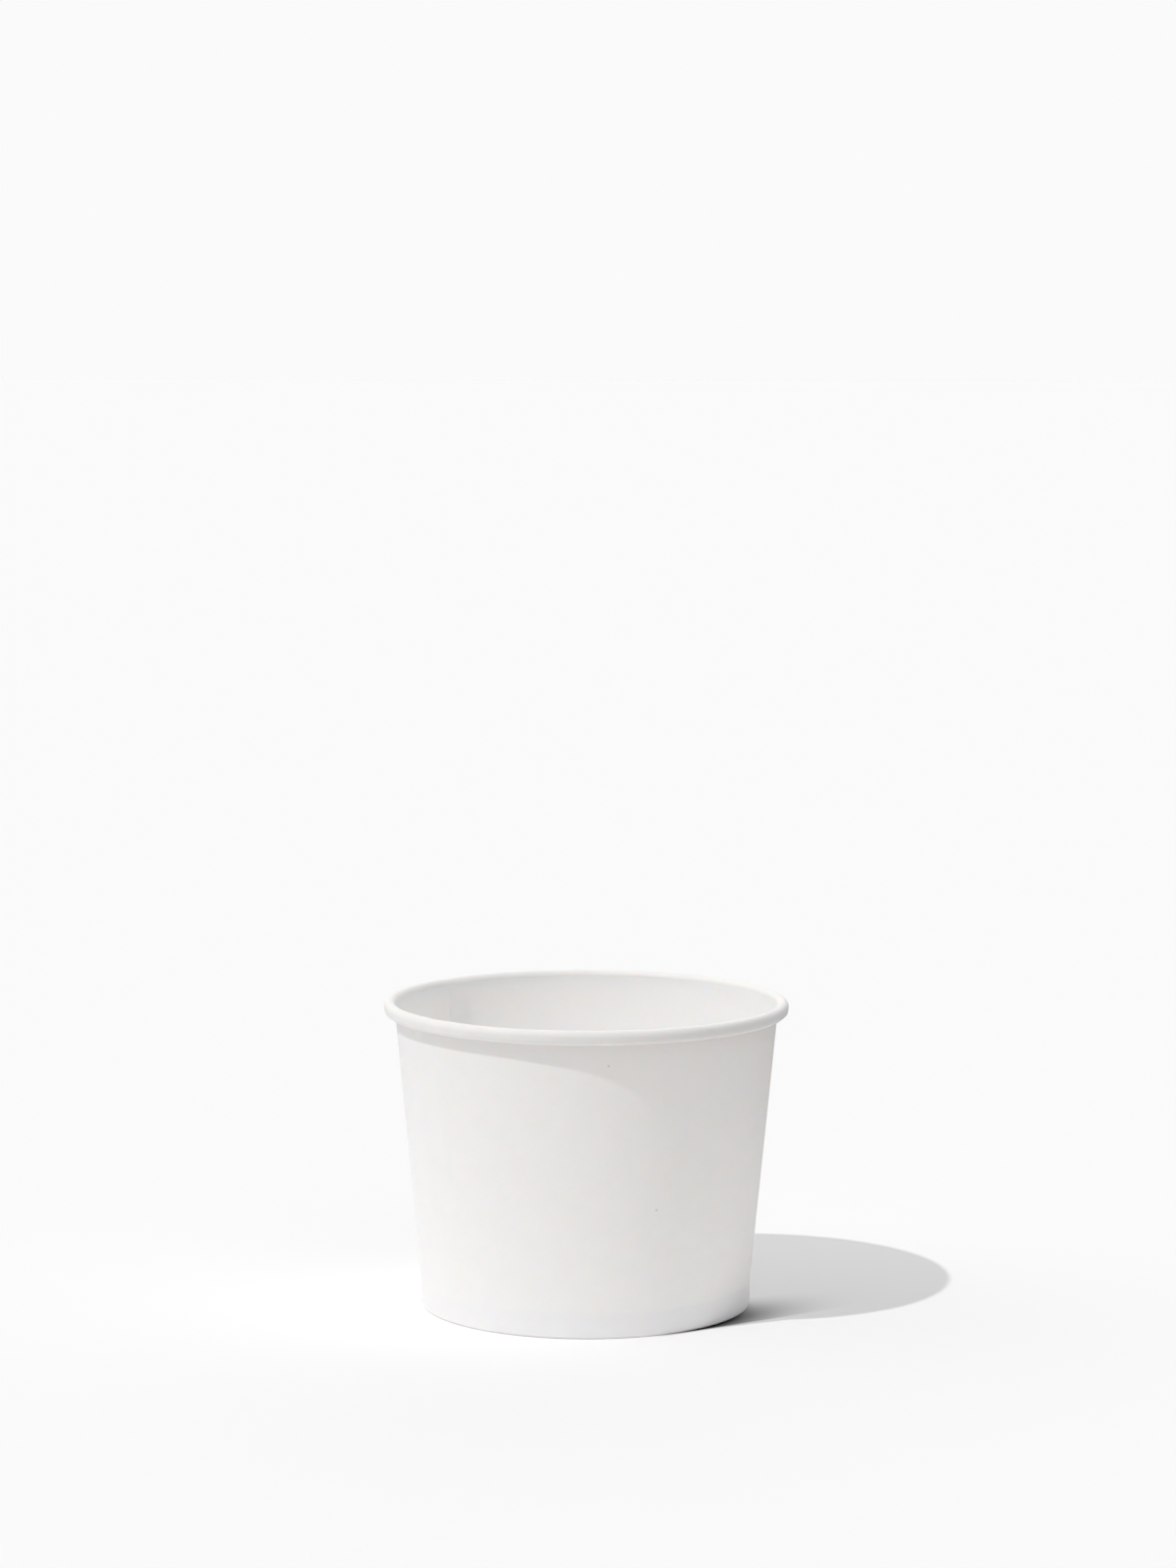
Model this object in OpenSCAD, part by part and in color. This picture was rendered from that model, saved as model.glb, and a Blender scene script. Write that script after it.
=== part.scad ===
// Paper soup container: a wrapped side wall with a rolled rim, and a skirted
// bottom disc held in the wall's turned-in hem. Millimetres, +Z up, origin at
// the centre of the ring that it stands on.

/* [Overall] */
// Height from the table to the top of the rolled rim
height = 89; // [60:0.5:140]
// Outer diameter of the rolled rim
rim_d = 117; // [95:0.5:130]
// Outer diameter of the upright band at the foot
foot_d = 95.6; // [70:0.1:100]

/* [Rolled rim] */
// Width of the curl across the board's direction
curl_w = 3.4; // [2.6:0.1:4.2]
// Height of the curl along the board's direction
curl_h = 4.3; // [3.5:0.1:6]
// Length of board that turns up inside the curl
curl_tuck = 0.8; // [0.2:0.1:1.6]
// Gap between the curl's tucked end and the wall
curl_gap = 0.16; // [0.05:0.01:0.4]

/* [Board] */
// Thickness of the side wall's board
wall_board = 0.42; // [0.3:0.01:0.48]
// Thickness of the bottom's board
bottom_board = 0.4; // [0.3:0.01:0.7]

/* [Foot] */
// Height of the upright band that grips the bottom's skirt
band_h = 7.3; // [5:0.1:15]
// Gap between the hem's upper edge and the bend of the bottom
hem_gap = 1; // [0.2:0.1:1.5]
// Width of the flat on the fold that the container stands on
fold_flat = 0.06; // [0.04:0.01:0.2]

/* [Bottom] */
// Height of the floor's upper face above the band's top
floor_rise = 0.6; // [0.5:0.1:3]
// Outer radius of the corner between floor and skirt
skirt_corner_r = 0.9; // [0.85:0.05:2]
// Gap between the skirt's lower edge and the fold
skirt_gap = 0.1; // [0.05:0.05:1]

/* [Side seam] */
// Direction of the middle of the lap, seen from above
seam_angle = 134; // [100:1:170]
// Width of the glued lap at the foot
lap_w = 7; // [4:0.5:14]
// Width of the step by which the wall climbs onto the lap
ramp_w = 1.6; // [1:0.1:3]
// Height of the pressed lap above the single wall
lap_rise = 0.3; // [0.1:0.01:0.38]

/* [Hidden] */
$fn = 96;

// how far a shape that is added or cut reaches into its neighbour
bite = 0.2;
foot_r = foot_d / 2;
curl_r = curl_w / 2;
// half of the straight stretch between the curl's two round ends
curl_half = (curl_h - curl_w) / 2;
// the wall runs from the band's top edge to the inner side of the curl
wall_across = rim_d / 2 - curl_r - foot_r;
wall_up = height - curl_r - band_h;
taper = acos((curl_r - wall_board) / norm([wall_across, wall_up])) - atan2(wall_up, wall_across);
curl_centre = [
    rim_d / 2 - curl_r - curl_half * sin(taper),
    height - curl_r - curl_half * cos(taper)
];
// length of the sloping wall from the band to the level of the curl's centre
slope_len = [sin(taper), cos(taper)] * (curl_centre - [foot_r, band_h]);
// the curl's lower end is narrower, because it turns in beside the wall
curl_end_r = curl_r - (wall_board + curl_gap) / 2;

// the fold holds the wall, the skirt and the hem, face to face
fold_w = 2 * wall_board + bottom_board;
fold_r = (fold_w - fold_flat) / 2;
skirt_r = foot_r - wall_board;
floor_top = band_h + floor_rise;
// where the skirt bends over into the floor, and the hem ends below that
bend_z = floor_top - skirt_corner_r;
hem_top = bend_z - hem_gap;

lap_turn = lap_w / foot_r * 180 / PI;
ramp_turn = ramp_w / foot_r * 180 / PI;
lap_start = seam_angle - lap_turn / 2;
lap_end = lap_start + lap_turn;
ramp_rise = lap_rise / 2;
// the step beside the lap ends this far short of the fold and of the lap's top
run_out = 0.3;
// angle by which the step reaches back under the lap
step_back = 1;
// the lap stops this far short of the curl's underside
lap_gap = 0.1;
lap_top = slope_len - curl_half - curl_end_r - lap_gap;

// A point on the sloping wall: along its length from the band's top, and out
// from its outer face.
function on_slope(along, out) = [
    foot_r + along * sin(taper) + out * cos(taper),
    band_h + along * cos(taper) - out * sin(taper)
];

// Part of a bent board in section, as a slice of a ring.
module bend(centre, r, board, from, to) {
    reach = 2 * r;
    middle = (from + to) / 2;
    translate(centre)
    intersection() {
        difference() {
            circle(r);
            circle(r - board);
        }
        polygon([
            [0, 0],
            reach * [cos(from), sin(from)],
            reach * [cos(middle), sin(middle)],
            reach * [cos(to), sin(to)]
        ]);
    }
}

// The half-round ends of the curl, drawn on its own axes.
module half_bend(centre, r, board, upper) {
    translate(centre)
    intersection() {
        difference() {
            circle(r);
            circle(r - board);
        }
        translate([-2 * r, upper ? 0 : -2 * r])
        square([4 * r, 2 * r]);
    }
}

// Rolled rim in section: over the top, down the outside, back under, and up
// inside beside the wall.
module curl_section() {
    translate(curl_centre)
    rotate(-taper) {
        half_bend([0, curl_half], curl_r, wall_board, true);
        translate([-curl_r, -curl_half])
        square([wall_board, 2 * curl_half]);
        translate([curl_r - wall_board, -curl_half])
        square([wall_board, 2 * curl_half]);
        half_bend([curl_r - curl_end_r, -curl_half], curl_end_r, wall_board, false);
        translate([curl_r - 2 * curl_end_r, -curl_half])
        square([wall_board, curl_tuck]);
    }
}

// Section of a board on the band and the sloping wall: between two distances
// out from the wall's outer face, from a height on the band to a length up the
// slope.
function layer(inner, outer, low, top) = [
    [foot_r + outer, low],
    [foot_r + outer, band_h - outer * tan(taper / 2)],
    on_slope(top, outer),
    on_slope(top, inner),
    [foot_r + inner, band_h - inner * tan(taper / 2)],
    [foot_r + inner, low]
];

// Fold that the container stands on, and the hem turned up inside.
module hem_section() {
    inner = foot_r - fold_w;
    bend([foot_r - fold_r, fold_r], fold_r, wall_board, -90, 0);
    bend([inner + fold_r, fold_r], fold_r, wall_board, 180, 270);
    translate([inner + fold_r, 0])
    square([fold_w - 2 * fold_r, wall_board]);
    translate([inner, fold_r])
    square([wall_board, hem_top - fold_r]);
}

// Wrapped board with its lapped side seam, the fold and hem below, and the
// rolled rim above. Beside the lap the wall is pressed out by half the rise,
// so that the inner end shows inside and the outer end outside.
module side_wall() {
    color("white")
    difference() {
        union() {
            rotate_extrude()
            union() {
                hem_section();
                polygon(layer(-wall_board, 0, fold_r, slope_len));
                curl_section();
            }
            rotate([0, 0, lap_start])
            rotate_extrude(angle = lap_turn)
            polygon(layer(-bite, lap_rise, fold_r, lap_top));
            rotate([0, 0, lap_end - step_back])
            rotate_extrude(angle = ramp_turn + step_back)
            polygon(layer(-bite, ramp_rise, fold_r + run_out, lap_top - run_out));
        }
        rotate([0, 0, lap_end])
        rotate_extrude(angle = ramp_turn)
        polygon(layer(-wall_board - bite, ramp_rise - wall_board, fold_r + run_out, lap_top - run_out));
    }
}

// Flat floor with its skirt bent down all round.
module bottom_disc() {
    skirt_low = fold_r + skirt_gap;
    color("snow")
    rotate_extrude()
    union() {
        translate([0, floor_top - bottom_board])
        square([skirt_r - skirt_corner_r, bottom_board]);
        bend([skirt_r - skirt_corner_r, bend_z], skirt_corner_r, bottom_board, 0, 90);
        translate([skirt_r - bottom_board, skirt_low])
        square([bottom_board, bend_z - skirt_low]);
    }
}

side_wall();
bottom_disc();
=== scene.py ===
import math

import bpy
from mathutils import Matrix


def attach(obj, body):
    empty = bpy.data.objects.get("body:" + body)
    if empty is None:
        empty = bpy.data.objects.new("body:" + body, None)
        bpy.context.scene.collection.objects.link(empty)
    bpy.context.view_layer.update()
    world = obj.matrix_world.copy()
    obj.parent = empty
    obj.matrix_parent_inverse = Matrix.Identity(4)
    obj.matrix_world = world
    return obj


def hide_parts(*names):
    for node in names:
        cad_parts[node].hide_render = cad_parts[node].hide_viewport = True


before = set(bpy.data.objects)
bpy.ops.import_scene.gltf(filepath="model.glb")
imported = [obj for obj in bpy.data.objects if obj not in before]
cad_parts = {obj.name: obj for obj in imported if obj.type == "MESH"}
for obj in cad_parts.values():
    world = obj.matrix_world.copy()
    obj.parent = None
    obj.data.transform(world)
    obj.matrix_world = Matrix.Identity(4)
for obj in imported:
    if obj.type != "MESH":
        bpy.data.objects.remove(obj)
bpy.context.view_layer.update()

mm = 0.001
print("frame loaded")

# Sizes that the pieces share with the part's source, in millimetres
container = {
    "height": 89.0,
    "rimWidth": 117.0,
    "footWidth": 95.6,
    "bandHeight": 7.3,
    "wallBoard": 0.42,
    "bottomBoard": 0.4,
    "foldFlat": 0.06,
    "hemHeight": 6.0,
    "kneeRadius": 5.0,
    "kneeClear": 0.5,
}
footRadius = container["footWidth"] / 2
foldWidth = 2 * container["wallBoard"] + container["bottomBoard"]
foldRadius = (foldWidth - container["foldFlat"]) / 2


# A bent board in section: its middle line, and what may move at each point.
# role: which of the tree's movements reaches the point, on (outer, inner) face
class BoardPath:
    def __init__(self):
        self.points = []
        self.roles = []

    def add(self, x, z, role):
        if self.points and math.dist((x, z), self.points[-1]) < 1e-4:
            return
        self.points.append((x, z))
        self.roles.append(role)

    def line(self, start, end, steps, role):
        for i in range(steps + 1):
            f = i / steps
            self.add(start[0] + (end[0] - start[0]) * f, start[1] + (end[1] - start[1]) * f, role)

    def arc(self, centre, radius, fromDegrees, toDegrees, steps, role):
        for i in range(steps + 1):
            angle = math.radians(fromDegrees + (toDegrees - fromDegrees) * i / steps)
            self.add(centre[0] + radius * math.cos(angle), centre[1] + radius * math.sin(angle), role)


# Both faces of a board, as one closed loop of points with the way each one faces
def boardLoop(path, thickness, closedAtAxis=False):
    left, right = [], []
    count = len(path.points)
    for i, (x, z) in enumerate(path.points):
        before = path.points[max(i - 1, 0)]
        after = path.points[min(i + 1, count - 1)]
        dx, dz = after[0] - before[0], after[1] - before[1]
        length = math.hypot(dx, dz)
        nx, nz = dz / length, -dx / length
        if closedAtAxis and i == 0:
            nx, nz = 0.0, math.copysign(1.0, nz)
        half = thickness / 2
        right.append(((x + nx * half, z + nz * half), (nx, nz), path.roles[i], "right"))
        left.append(((x - nx * half, z - nz * half), (-nx, -nz), path.roles[i], "left"))
    return right + left[::-1]


# Maths nodes for one tree: each call makes a node from sockets and numbers
def calculator(tree):
    def reckon(operation, *values):
        node = tree.nodes.new("ShaderNodeMath")
        node.operation = operation
        for socket, value in zip(node.inputs, values):
            if isinstance(value, bpy.types.NodeSocket):
                tree.links.new(value, socket)
            else:
                socket.default_value = value
        return node.outputs[0]
    return reckon


# Points of a turned piece that are closer than this, in millimetres, become one
weldWithin = 0.002


# The tree that turns a section round the axis. The mesh it works on holds the
# section's points first and then the stations round, each with its values.
def buildTurningTree():
    tree = bpy.data.node_groups.new("turnBoardRound", "GeometryNodeTree")
    sockets = {}
    for name, kind in (("Geometry", "NodeSocketGeometry"), ("Section points", "NodeSocketInt"),
                       ("Stations", "NodeSocketInt"), ("Lap rise", "NodeSocketFloat"),
                       ("Rim swell", "NodeSocketFloat"), ("Wall waver", "NodeSocketFloat"),
                       ("Knurl depth", "NodeSocketFloat"), ("Finish", "NodeSocketMaterial")):
        sockets[name] = tree.interface.new_socket(name, in_out="INPUT", socket_type=kind).identifier
    tree.interface.new_socket("Geometry", in_out="OUTPUT", socket_type="NodeSocketGeometry")
    nodes, links = tree.nodes, tree.links
    given = nodes.new("NodeGroupInput")
    reckon = calculator(tree)

    def put(socket, value):
        if isinstance(value, bpy.types.NodeSocket):
            links.new(value, socket)
        else:
            socket.default_value = value

    def vector(operation, a, b):
        node = nodes.new("ShaderNodeVectorMath")
        node.operation = operation
        put(node.inputs[0], a)
        if operation == "SCALE":
            put(node.inputs["Scale"], b)
        else:
            put(node.inputs[1], b)
        return node.outputs[0]

    def dot(a, b):
        return vector("DOT_PRODUCT", a, b).node.outputs["Value"]

    def attribute(name, kind):
        node = nodes.new("GeometryNodeInputNamedAttribute")
        node.data_type = kind
        node.inputs["Name"].default_value = name
        return node.outputs["Attribute"]

    def sample(value, kind, index):
        node = nodes.new("GeometryNodeSampleIndex")
        node.data_type = kind
        node.domain = "POINT"
        links.new(given.outputs["Geometry"], node.inputs["Geometry"])
        links.new(value, node.inputs["Value"])
        links.new(index, node.inputs["Index"])
        return node.outputs["Value"]

    sectionCount = given.outputs["Section points"]
    stationCount = given.outputs["Stations"]
    grid = nodes.new("GeometryNodeMeshGrid")
    put(grid.inputs["Size X"], sectionCount)
    put(grid.inputs["Size Y"], stationCount)
    put(grid.inputs["Vertices X"], reckon("ADD", sectionCount, 1))
    put(grid.inputs["Vertices Y"], reckon("ADD", stationCount, 1))
    place = nodes.new("GeometryNodeInputPosition")
    parts = nodes.new("ShaderNodeSeparateXYZ")
    links.new(place.outputs[0], parts.inputs[0])
    column = reckon("ROUND", reckon("MULTIPLY_ADD", sectionCount, 0.5, parts.outputs["X"]))
    column = reckon("FLOORED_MODULO", column, sectionCount)
    row = reckon("ROUND", reckon("MULTIPLY_ADD", stationCount, 0.5, parts.outputs["Y"]))
    station = reckon("ADD", row, sectionCount)

    rise = vector("SCALE", sample(attribute("lapSide", "FLOAT_VECTOR"), "FLOAT_VECTOR", column),
                  given.outputs["Lap rise"])
    lift = sample(attribute("liftWay", "FLOAT_VECTOR"), "FLOAT_VECTOR", column)
    weights = sample(attribute("moves", "FLOAT_VECTOR"), "FLOAT_VECTOR", column)
    amounts = nodes.new("ShaderNodeCombineXYZ")
    links.new(given.outputs["Rim swell"], amounts.inputs[0])
    links.new(given.outputs["Wall waver"], amounts.inputs[1])
    links.new(given.outputs["Knurl depth"], amounts.inputs[2])
    waves = sample(attribute("waves", "FLOAT_VECTOR"), "FLOAT_VECTOR", station)
    lapHere = sample(attribute("lapHere", "FLOAT_VECTOR"), "FLOAT_VECTOR", station)
    moved = dot(vector("MULTIPLY", weights, amounts.outputs[0]), waves)
    onSection = sample(place.outputs[0], "FLOAT_VECTOR", column)
    lifted = vector("SCALE", lift, reckon("ADD", moved, dot(rise, lapHere)))
    point = vector("ADD", onSection, lifted)
    turn = sample(attribute("turn", "FLOAT"), "FLOAT", station)
    split = nodes.new("ShaderNodeSeparateXYZ")
    links.new(point, split.inputs[0])
    join = nodes.new("ShaderNodeCombineXYZ")
    put(join.inputs[0], reckon("MULTIPLY", split.outputs["X"], reckon("COSINE", turn)))
    put(join.inputs[1], reckon("MULTIPLY", split.outputs["X"], reckon("SINE", turn)))
    put(join.inputs[2], split.outputs["Z"])

    # each step of the chain: its node, what goes in, and the node's own settings
    bare = reckon("LESS_THAN", nodes.new("GeometryNodeInputMeshEdgeNeighbors").outputs[0], 0.5)
    lined = sample(attribute("lined", "FLOAT"), "FLOAT", column)
    movements = nodes.new("ShaderNodeSeparateXYZ")
    links.new(weights, movements.inputs[0])
    store, number = "GeometryNodeStoreNamedAttribute", {"data_type": "FLOAT"}
    steps = (
        (store, {"Name": "lined", "Value": lined}, number),
        # the rolled rim's share, which the finish uses for a painted warm shade
        (store, {"Name": "rolled", "Value": movements.outputs[0]}, number),
        ("GeometryNodeSetPosition", {"Position": join.outputs[0]}, {}),
        ("GeometryNodeMergeByDistance", {"Distance": weldWithin * mm}, {}),
        ("GeometryNodeDeleteGeometry", {"Selection": bare}, {"domain": "EDGE", "mode": "EDGE_FACE"}),
        ("GeometryNodeFlipFaces", {}, {}),
        ("GeometryNodeSetShadeSmooth", {}, {}),
        ("GeometryNodeRealizeInstances", {}, {}),
        ("GeometryNodeSetMaterial", {"Material": given.outputs["Finish"]}, {}),
    )
    chain = grid.outputs["Mesh"]
    for kind, inputs, settings in steps:
        node = nodes.new(kind)
        for key, value in settings.items():
            setattr(node, key, value)
        side = "Mesh" if kind == "GeometryNodeFlipFaces" else "Geometry"
        links.new(chain, node.inputs[side])
        for key, value in inputs.items():
            put(node.inputs[key], value)
        chain = node.outputs[side]
    links.new(chain, nodes.new("NodeGroupOutput").inputs["Geometry"])
    return tree, sockets


turningTree, treeSockets = buildTurningTree()

# Side seam: directions in degrees seen from above, widths in millimetres
seam = {
    "middle": 134.0,
    "lapWidth": 7.0,
    "rampWidth": 2.6,
    "rise": 0.3,
    "edgeSoftness": 0.25,
    "gapUnderRim": 0.1,
}
lapTurn = math.degrees(seam["lapWidth"] / footRadius)
rampTurn = math.degrees(seam["rampWidth"] / footRadius)
softTurn = math.degrees(seam["edgeSoftness"] / footRadius)
lapStart = seam["middle"] - lapTurn / 2
lapEnd = lapStart + lapTurn

# How evenly the board was rolled and pressed, in millimetres. Each wave of the rim and
# the wall has a count round the container, a share and a phase
unevenness = {
    "stations": 480,
    "knurls": 120,
    "rim": ((7, 0.30, 0.4), (17, 0.22, 2.1), (29, 0.20, 5.0), (43, 0.16, 1.3), (61, 0.12, 3.7)),
    "wall": ((2, 0.45, 0.9), (3, 0.30, 2.6), (5, 0.25, 4.4)),
    "wallWaver": 0.05,
    "waverSpread": 0.8,
    "knurlDepth": 0.06,
    "knurlClear": 0.4,
}


def smoothStep(x):
    x = min(max(x, 0.0), 1.0)
    return x * x * (3 - 2 * x)


def waveSum(terms, angle):
    return sum(share * math.sin(count * angle + phase) for count, share, phase in terms)


# Angles of the stations, with close pairs where the lap's edges stand
def stationAngles():
    count = unevenness["stations"]
    angles = {round(360.0 * i / count, 4) for i in range(count)}
    for edge in (lapStart, lapEnd):
        angles = {a for a in angles if abs(a - edge) > softTurn * 1.5}
        angles |= {round(edge + softTurn * k, 4) for k in (-1.0, -0.5, 0.0, 0.5, 1.0)}
    return sorted(angles)


# Rise of the outer face and of the inner face at an angle, from 0 to 1
def lapAt(degrees):
    climb = smoothStep((degrees - lapStart) / softTurn + 0.5)
    if degrees > lapEnd:
        climb = 1 - smoothStep((degrees - lapEnd) / rampTurn)
    inner = smoothStep((degrees - lapEnd) / softTurn + 0.5)
    if degrees > lapEnd + softTurn:
        inner = 1 - smoothStep((degrees - lapEnd) / rampTurn)
    return climb, min(inner, climb)


def turnRound(name, loop, material, amounts):
    angles = stationAngles()
    stations = angles + [angles[0] + 360.0]
    sectionPoints = [(p[0] * mm, 0.0, p[1] * mm) for p, _, _, _ in loop]
    mesh = bpy.data.meshes.new(name)
    mesh.from_pydata(sectionPoints + [(0.0, 0.0, 0.0)] * len(stations), [], [])
    values = {key: [] for key in ("lapSide", "liftWay", "moves", "waves", "lapHere")}
    turns, lined = [], []
    for _, way, role, face in loop:
        lined.append(1.0 if face == "left" else 0.0)
        lapWeight, rimWeight, wallWeight, knurlWeight, liftWay = role(face, way)
        values["lapSide"].append((lapWeight, 0.0, 0.0) if face == "right" else (0.0, lapWeight, 0.0))
        values["liftWay"].append((liftWay[0], 0.0, liftWay[1]))
        values["moves"].append((rimWeight, wallWeight, knurlWeight))
        values["waves"].append((0.0, 0.0, 0.0))
        values["lapHere"].append((0.0, 0.0, 0.0))
        turns.append(0.0)
    for degrees in stations:
        angle = math.radians(degrees)
        for key in ("lapSide", "liftWay", "moves"):
            values[key].append((0.0, 0.0, 0.0))
        values["waves"].append((waveSum(unevenness["rim"], angle), waveSum(unevenness["wall"], angle),
                                0.5 + 0.5 * math.cos(unevenness["knurls"] * angle)))
        outer, inner = lapAt(degrees % 360.0)
        values["lapHere"].append((outer, inner, 0.0))
        turns.append(angle)
    for key, vectors in values.items():
        layer = mesh.attributes.new(key, "FLOAT_VECTOR", "POINT")
        layer.data.foreach_set("vector", [c for v in vectors for c in v])
    lined += [0.0] * len(stations)
    mesh.attributes.new("turn", "FLOAT", "POINT").data.foreach_set("value", turns)
    mesh.attributes.new("lined", "FLOAT", "POINT").data.foreach_set("value", lined)
    maker = bpy.data.objects.new(name + "_section", mesh)
    bpy.context.scene.collection.objects.link(maker)
    modifier = maker.modifiers.new("turn", "NODES")
    modifier.node_group = turningTree
    given = dict(amounts)
    given["Section points"] = len(loop)
    given["Stations"] = len(angles)
    given["Finish"] = material
    for key, value in given.items():
        modifier[treeSockets[key]] = value
    evaluated = maker.evaluated_get(bpy.context.evaluated_depsgraph_get())
    made = bpy.data.meshes.new_from_object(evaluated)
    made.name = name
    piece = bpy.data.objects.new(name, made)
    bpy.context.scene.collection.objects.link(piece)
    bpy.data.objects.remove(maker)
    return piece


# Coated paperboard: a lined and a bare side, the lined white partly painted lighter for the light inside, a
# warm painted shade on the rolled rim, a pressed foot, mottle, specks, fibre, and light that comes through
def makeBoard(name, board):
    material = bpy.data.materials.new(name)
    material.use_nodes = True
    nodes, links = material.node_tree.nodes, material.node_tree.links
    shader = nodes["Principled BSDF"]
    place = nodes.new("ShaderNodeTexCoord").outputs["Object"]
    reckon = calculator(material.node_tree)

    def noise(scale, detail, stretch):
        mapping = nodes.new("ShaderNodeMapping")
        mapping.inputs["Scale"].default_value = stretch
        links.new(place, mapping.inputs["Vector"])
        node = nodes.new("ShaderNodeTexNoise")
        node.inputs["Scale"].default_value = scale
        node.inputs["Detail"].default_value = detail
        links.new(mapping.outputs[0], node.inputs["Vector"])
        return node.outputs["Fac"]

    def mixColour(kind, factor, first, second):
        mix = nodes.new("ShaderNodeMix")
        mix.data_type = "RGBA"
        mix.blend_type = kind
        for index, value in ((0, factor), (6, first), (7, second)):
            if isinstance(value, bpy.types.NodeSocket):
                links.new(value, mix.inputs[index])
            elif isinstance(value, tuple):
                mix.inputs[index].default_value = (*value, 1)
            else:
                mix.inputs[index].default_value = value
        return mix.outputs[2]

    def between(value, low, high):
        step = nodes.new("ShaderNodeMapRange")
        step.interpolation_type = "SMOOTHSTEP"
        links.new(value, step.inputs["Value"])
        step.inputs["From Min"].default_value = low
        step.inputs["From Max"].default_value = high
        return step.outputs[0]

    def stored(attributeName):
        node = nodes.new("ShaderNodeAttribute")
        node.attribute_name = attributeName
        return node.outputs["Fac"]

    # the lined side's white is partly its own coating and partly painted light, lighter than the bare side
    # for the brighter light inside
    base = mixColour("MIX", stored("lined"), board["bareColour"], board["linedWhiteAndPaintedLight"])
    # a warm painted shade over the whole rolled rim, standing in for the warm light in its shade
    base = mixColour("MULTIPLY", stored("rolled"), base, board["rimPaintedWarmShade"])
    mottle = between(noise(board["mottleScale"], 3, (1, 1, 1)), *board["mottleLimits"])
    shaded = mixColour("MULTIPLY", mottle, base, board["mottleShade"])
    height = nodes.new("ShaderNodeSeparateXYZ")
    links.new(place, height.inputs[0])
    top, edge = board["pressedTop"] * mm, board["pressedEdge"] * mm
    above = between(height.outputs["Z"], top - edge, top + edge)
    pressed = mixColour("MULTIPLY", 1.0, shaded, board["pressedShade"])
    finish = mixColour("MIX", above, pressed, shaded)
    for centre, radius in board["specks"]:
        apart = nodes.new("ShaderNodeVectorMath")
        apart.operation = "DISTANCE"
        links.new(place, apart.inputs[0])
        apart.inputs[1].default_value = [c * mm for c in centre]
        clear = between(apart.outputs["Value"], board["speckCore"] * radius * mm, radius * mm)
        finish = mixColour("MIX", clear, board["speckColour"], finish)
    links.new(finish, shader.inputs["Base Color"])
    fibre = noise(board["fibreScale"], 3, board["fibreStretch"])
    soft = noise(board["waveScale"], 2, board["waveStretch"])
    relief = reckon("MULTIPLY_ADD", soft, board["waveShare"], fibre)
    bump = nodes.new("ShaderNodeBump")
    bump.inputs["Strength"].default_value = board["bumpStrength"]
    bump.inputs["Distance"].default_value = board["bumpDepth"] * mm
    links.new(relief, bump.inputs["Height"])
    links.new(bump.outputs[0], shader.inputs["Normal"])
    shader.inputs["Roughness"].default_value = board["roughness"]
    shader.inputs["Specular IOR Level"].default_value = board["gloss"]
    shader.inputs["Subsurface Weight"].default_value = board["glow"]
    shader.inputs["Subsurface Radius"].default_value = board["glowColour"]
    shader.inputs["Subsurface Scale"].default_value = board["glowReach"] * mm
    return material


wallBoard = makeBoard("white coated board", {
    "bareColour": (0.953, 0.937, 0.924),
    # lined white, partly painted lighter for the light inside
    "linedWhiteAndPaintedLight": (0.988, 0.986, 0.982),
    "mottleScale": 140,
    "mottleLimits": (0.35, 0.65),
    "mottleShade": (0.988, 0.986, 0.984),
    "pressedTop": container["bandHeight"],
    "pressedEdge": 0.2,
    "pressedShade": (1.01, 0.985, 1.015),
    # warm painted shade on the rolled rim
    "rimPaintedWarmShade": (0.975, 0.92, 0.905),
    "specks": (((6.23, -54.35, 78.73), 0.45), ((19.83, -46.59, 36.61), 0.45)),
    "speckCore": 0.4,
    "speckColour": (0.74, 0.70, 0.65),
    "fibreScale": 2600,
    "fibreStretch": (1, 1, 0.45),
    "waveScale": 420,
    "waveStretch": (1, 1, 0.6),
    "waveShare": 1.6,
    "bumpStrength": 0.3,
    "bumpDepth": 0.012,
    "roughness": 0.5,
    "gloss": 0.35,
    "glow": 1.0,
    "glowColour": (1.0, 0.85, 0.75),
    "glowReach": 0.3,
})
print("materials made")

# Rolled rim, in millimetres along and across the board's direction at the rim
rim = {
    "width": 3.4,
    "height": 4.3,
    "tuck": 0.8,
    "gap": 0.16,
    "swell": 0.09,
}
curlRadius = rim["width"] / 2
curlHalf = (rim["height"] - rim["width"]) / 2
across = container["rimWidth"] / 2 - curlRadius - footRadius
upward = container["height"] - curlRadius - container["bandHeight"]
taper = (math.acos((curlRadius - container["wallBoard"]) / math.hypot(across, upward))
         - math.atan2(upward, across))
slopeWay = (math.sin(taper), math.cos(taper))
slopeOut = (math.cos(taper), -math.sin(taper))
curlEndRadius = curlRadius - (container["wallBoard"] + rim["gap"]) / 2


def alongSlope(start, along, out=0.0):
    return tuple(s + way * along + side * out for s, way, side in zip(start, slopeWay, slopeOut))


upperCurl = (container["rimWidth"] / 2 - curlRadius, container["height"] - curlRadius)
lowerCurl = alongSlope(upperCurl, -2 * curlHalf, curlRadius - curlEndRadius)
taperDegrees = math.degrees(taper)


# What moves a point: (lap, rim, wall, knurl, the way it moves)
def still(face, way):
    return 0.0, 0.0, 0.0, 0.0, (0.0, 0.0)


def knurled(face, way):
    return 0.0, 0.0, 0.0, 1.0 if face == "right" else 0.0, way


def lapped(share):
    def role(face, way):
        return share, 0.0, 0.0, 0.0, slopeOut
    return role


def wavering(share, lapShare):
    def role(face, way):
        return lapShare, 0.0, share, 0.0, slopeOut
    return role


def rolled(share):
    def role(face, way):
        outward = way if face == "left" else (-way[0], -way[1])
        return 0.0, share, 0.0, 0.0, outward
    return role


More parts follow.
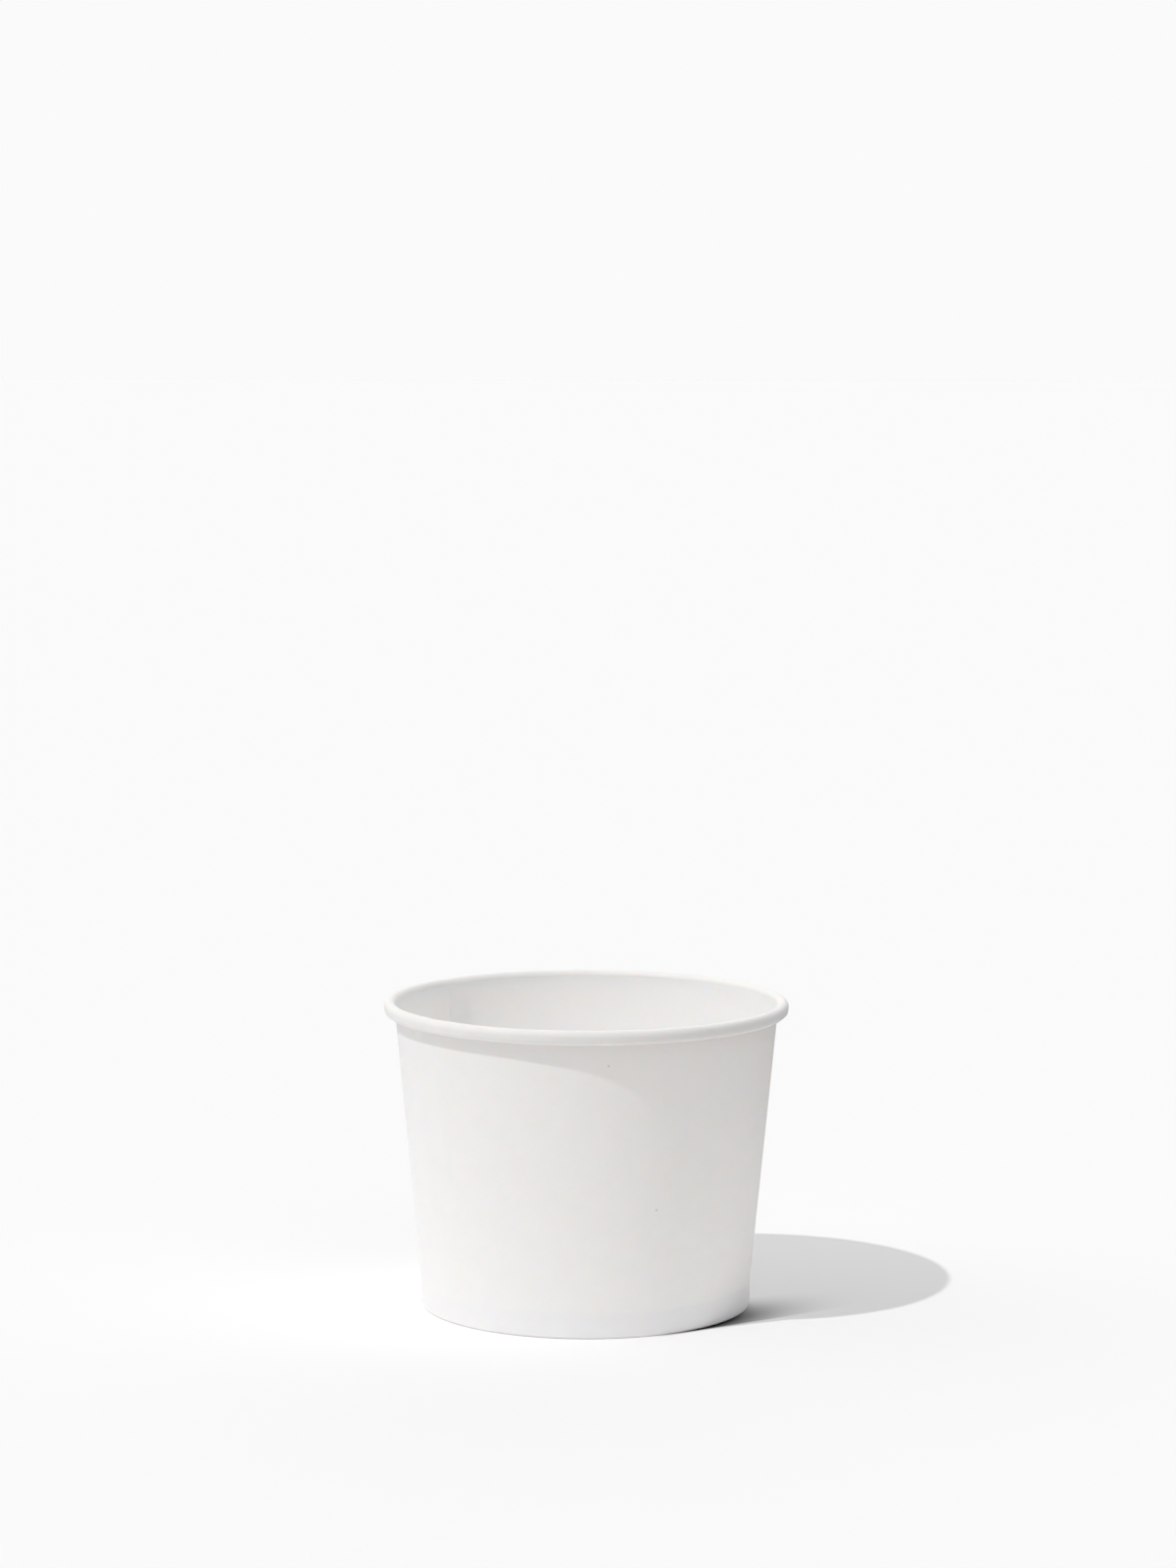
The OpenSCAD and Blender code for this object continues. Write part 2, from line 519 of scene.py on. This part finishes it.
def wallPath():
    half = container["wallBoard"] / 2
    inner = footRadius - foldWidth
    path = BoardPath()
    hemX = inner + half
    clear = unevenness["knurlClear"]
    path.line((hemX, container["hemHeight"]), (hemX, foldRadius + clear), 4, knurled)
    path.line((hemX, foldRadius + clear / 2), (hemX, foldRadius), 1, still)
    path.arc((inner + foldRadius, foldRadius), foldRadius - half, 180, 270, 7, still)
    path.arc((footRadius - foldRadius, foldRadius), foldRadius - half, 270, 360, 7, still)
    wallX = footRadius - half
    bandTop = container["bandHeight"] - container["kneeClear"]
    bandSteps = 4
    for k in range(bandSteps + 1):
        path.add(wallX, foldRadius + (bandTop - foldRadius) * k / bandSteps, lapped(1.0 if k else 0.0))
    kneeRadius = container["kneeRadius"]
    kneeReach = kneeRadius * math.tan(taper / 2)
    knee = (wallX, container["bandHeight"] + half * math.tan(taper / 2))
    kneeCentre = (wallX + kneeRadius, knee[1] - kneeReach)
    path.arc(kneeCentre, kneeRadius, 180, 180 - taperDegrees, 4, lapped(1.0))
    start = alongSlope(knee, kneeReach)
    end = alongSlope(upperCurl, -2 * curlHalf - curlEndRadius - seam["gapUnderRim"], -(curlRadius - half))
    steps = 12
    for k in range(1, steps):
        f = k / steps
        path.add(start[0] + (end[0] - start[0]) * f, start[1] + (end[1] - start[1]) * f,
                 wavering(math.sin(math.pi * f) ** unevenness["waverSpread"], 1.0))
    path.add(*end, lapped(0.0))
    path.add(*alongSlope(upperCurl, -curlHalf, -(curlRadius - half)), still)
    path.arc(upperCurl, curlRadius - half, 180 - taperDegrees, -taperDegrees, 24, rolled(1.0))
    path.arc(lowerCurl, curlEndRadius - half, -taperDegrees, -180 - taperDegrees, 20, rolled(1.0))
    path.add(*alongSlope(lowerCurl, rim["tuck"], -(curlEndRadius - half)), rolled(1.0))
    return path


def makeSideWall():
    amounts = {"Lap rise": seam["rise"] * mm, "Rim swell": rim["swell"] * mm,
               "Wall waver": unevenness["wallWaver"] * mm, "Knurl depth": -unevenness["knurlDepth"] * mm}
    loop = boardLoop(wallPath(), container["wallBoard"])
    piece = turnRound("wrapped_wall", loop, wallBoard, amounts)
    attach(piece, "root")
    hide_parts("side_wall")
    return piece


# Bottom: a floor with a skirt turned down all round, in millimetres
bottom = {
    "floorRise": 0.6,
    "cornerRadius": 0.9,
    "skirtGap": 0.1,
}


def bottomPath():
    half = container["bottomBoard"] / 2
    top = container["bandHeight"] + bottom["floorRise"]
    skirt = footRadius - container["wallBoard"]
    corner = bottom["cornerRadius"]
    path = BoardPath()
    path.line((0.0, top - half), (skirt - corner, top - half), 16, still)
    path.arc((skirt - corner, top - corner), corner - half, 90, 0, 8, still)
    path.line((skirt - half, top - corner), (skirt - half, foldRadius + bottom["skirtGap"]), 4, still)
    return path


def makeBottom():
    amounts = {"Lap rise": 0.0, "Rim swell": 0.0, "Wall waver": 0.0, "Knurl depth": 0.0}
    loop = boardLoop(bottomPath(), container["bottomBoard"], closedAtAxis=True)
    piece = turnRound("pressed_bottom", loop, wallBoard, amounts)
    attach(piece, "root")
    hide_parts("bottom_disc")
    return piece


wall = makeSideWall()
floorDisc = makeBottom()
print("pieces made:", len(wall.data.polygons), len(floorDisc.data.polygons))

# Studio: a white floor that runs into a white backdrop, a key, soft lights in the sky, and a painted shadow
# on the floor beside the foot.
# Bounce in metres, the painted shadow in millimetres; a soft light has a heading, an elevation and a
# strength
studio = {
    "paperWhite": 0.956,
    "floorColour": 0.95,
    "floorHalf": 30.0,
    "floorDrop": 0.02,
    "bounceCentre": (-0.20, -0.10),
    "bounceNear": 0.28,
    "bounceFar": 0.60,
    "bounceLeft": 0.2,
    # painted shadow on the floor beside the foot: how far it reaches, how fast it falls, and where it starts
    # and ends
    "paintedShadowReach": 45.0,
    "paintedShadowFall": 4.0,
    "paintedShadowSide": (22.0, 46.0, 47.5, 49.5),
    "paintedShadowAlong": (-12.0, 6.0),
    "keyStrength": 0.356,
    "keyElevation": 55.0,
    "keyHeading": 214.8,
    "keySoftness": 1.1,
    "softPower": 5.0,
    "softLights": ((60.0, 45.0, 0.472),
                   (180.0, 45.0, 0.983),
                   (240.0, 45.0, 0.362),
                   (300.0, 45.0, 1.353),
                   (30.0, 12.0, 0.754),
                   (90.0, 12.0, 1.442),
                   (150.0, 12.0, 0.846)),
}


# The way that a heading and an elevation in degrees point
def towards(heading, elevation=0.0):
    turn, climb = math.radians(heading), math.radians(elevation)
    return math.cos(climb) * math.cos(turn), math.cos(climb) * math.sin(turn), math.sin(climb)


def makeSky():
    world = bpy.data.worlds.new("studio sky")
    bpy.context.scene.world = world
    world.use_nodes = True
    nodes, links = world.node_tree.nodes, world.node_tree.links
    nodes.clear()
    reckon = calculator(world.node_tree)
    direction = nodes.new("ShaderNodeTexCoord").outputs["Generated"]
    total = 0.0
    for heading, elevation, strength in studio["softLights"]:
        facing = nodes.new("ShaderNodeVectorMath")
        facing.operation = "DOT_PRODUCT"
        links.new(direction, facing.inputs[0])
        facing.inputs[1].default_value = towards(heading, elevation)
        share = reckon("POWER", reckon("MAXIMUM", facing.outputs["Value"], 0.0), studio["softPower"])
        total = reckon("MULTIPLY_ADD", share, strength, total)
    sky = nodes.new("ShaderNodeBackground")
    links.new(total, sky.inputs["Strength"])
    backdrop = nodes.new("ShaderNodeBackground")
    white = studio["paperWhite"]
    backdrop.inputs["Color"].default_value = (white, white, white, 1)
    ray = nodes.new("ShaderNodeLightPath").outputs
    seen = reckon("MAXIMUM", ray["Is Camera Ray"], ray["Is Glossy Ray"])
    seen = reckon("MAXIMUM", seen, ray["Is Transmission Ray"])
    mix = nodes.new("ShaderNodeMixShader")
    links.new(seen, mix.inputs[0])
    links.new(sky.outputs[0], mix.inputs[1])
    links.new(backdrop.outputs[0], mix.inputs[2])
    links.new(mix.outputs[0], nodes.new("ShaderNodeOutputWorld").inputs["Surface"])


def makeKey():
    lamp = bpy.data.lights.new("key lamp", "SUN")
    lamp.energy = studio["keyStrength"] * math.pi
    lamp.angle = math.radians(studio["keySoftness"])
    key = bpy.data.objects.new("key lamp", lamp)
    key.rotation_euler = (0.0, math.radians(90 - studio["keyElevation"]), math.radians(studio["keyHeading"]))
    bpy.context.scene.collection.objects.link(key)


def makeFloor():
    half, level = studio["floorHalf"], -studio["floorDrop"] * mm
    corners = [(-half, -half, level), (half, -half, level), (half, half, level), (-half, half, level)]
    mesh = bpy.data.meshes.new("floor")
    mesh.from_pydata(corners, [], [(0, 1, 2, 3)])
    floor = bpy.data.objects.new("floor", mesh)
    bpy.context.scene.collection.objects.link(floor)
    paper = bpy.data.materials.new("white sweep")
    paper.use_nodes = True
    nodes, links = paper.node_tree.nodes, paper.node_tree.links
    shader = nodes["Principled BSDF"]
    reckon = calculator(paper.node_tree)
    place = nodes.new("ShaderNodeTexCoord").outputs["Object"]

    def vector(operation, value, output, way=None):
        node = nodes.new("ShaderNodeVectorMath")
        node.operation = operation
        links.new(value, node.inputs[0])
        if way:
            node.inputs[1].default_value = way
        return node.outputs[output]

    def ramp(value, low, high, kind="SMOOTHSTEP"):
        step = nodes.new("ShaderNodeMapRange")
        step.interpolation_type = kind
        links.new(value, step.inputs["Value"])
        step.inputs["From Min"].default_value = low
        step.inputs["From Max"].default_value = high
        return step

    # the floor sends less light back to the container the farther away it is
    shifted = vector("SUBTRACT", place, "Vector", (*studio["bounceCentre"], 0.0))
    fade = ramp(vector("LENGTH", shifted, "Value"), studio["bounceNear"], studio["bounceFar"])
    fade.inputs["To Min"].default_value = 1.0
    fade.inputs["To Max"].default_value = studio["bounceLeft"]
    seen = nodes.new("ShaderNodeLightPath").outputs["Is Camera Ray"]
    plain = reckon("MAXIMUM", fade.outputs[0], seen)

    # painted shadow: the floor's colour is darkened, for every ray, in the gap beside the foot away from the
    # key, where hardly any light gets in
    beside = vector("DOT_PRODUCT", place, "Value", towards(studio["keyHeading"] + 90))
    along = vector("DOT_PRODUCT", place, "Value", towards(studio["keyHeading"] - 180))
    reach = (footRadius + studio["paintedShadowReach"]) * mm
    inner, full, last, outer = (limit * mm for limit in studio["paintedShadowSide"])
    start, end = (limit * mm for limit in studio["paintedShadowAlong"])
    near = ramp(vector("LENGTH", place, "Value"), reach, footRadius * mm, "LINEAR")
    paintedShadow = reckon("POWER", near.outputs[0], studio["paintedShadowFall"])
    for limit in (ramp(beside, inner, full), ramp(beside, outer, last), ramp(along, start, end)):
        paintedShadow = reckon("MULTIPLY", paintedShadow, limit.outputs[0])
    # the floor's colour with the painted shadow multiplied in
    floorShareAfterPaintedShadow = reckon("MULTIPLY", plain, reckon("SUBTRACT", 1.0, paintedShadow))
    colour = nodes.new("ShaderNodeVectorMath")
    colour.operation = "SCALE"
    colour.inputs[0].default_value = (studio["floorColour"],) * 3
    links.new(floorShareAfterPaintedShadow, colour.inputs["Scale"])
    links.new(colour.outputs[0], shader.inputs["Base Color"])
    shader.inputs["Roughness"].default_value = 1.0
    shader.inputs["Specular IOR Level"].default_value = 0.0
    mesh.materials.append(paper)


# Camera as fitted to the outline: metres and radians, with the lens and sensor in millimetres
view = {
    "place": (0.0003, -1.2, 0.2779),
    "pitch": 0.1049,
    "roll": 0.0026,
    "lens": 96.2,
    "sensor": 36.0,
    "clipStart": 0.01,
}


def makeCamera():
    camera = bpy.data.objects.new("camera", bpy.data.cameras.new("camera"))
    camera.data.lens = view["lens"]
    camera.data.sensor_width = view["sensor"]
    camera.data.clip_start = view["clipStart"]
    camera.location = view["place"]
    camera.rotation_mode = "ZYX"
    camera.rotation_euler = (math.pi / 2 - view["pitch"], 0.0, view["roll"])
    bpy.context.scene.collection.objects.link(camera)
    bpy.context.scene.camera = camera


makeSky()
makeKey()
makeFloor()
makeCamera()
bpy.context.scene.view_settings.view_transform = "Standard"
print("studio and camera made")
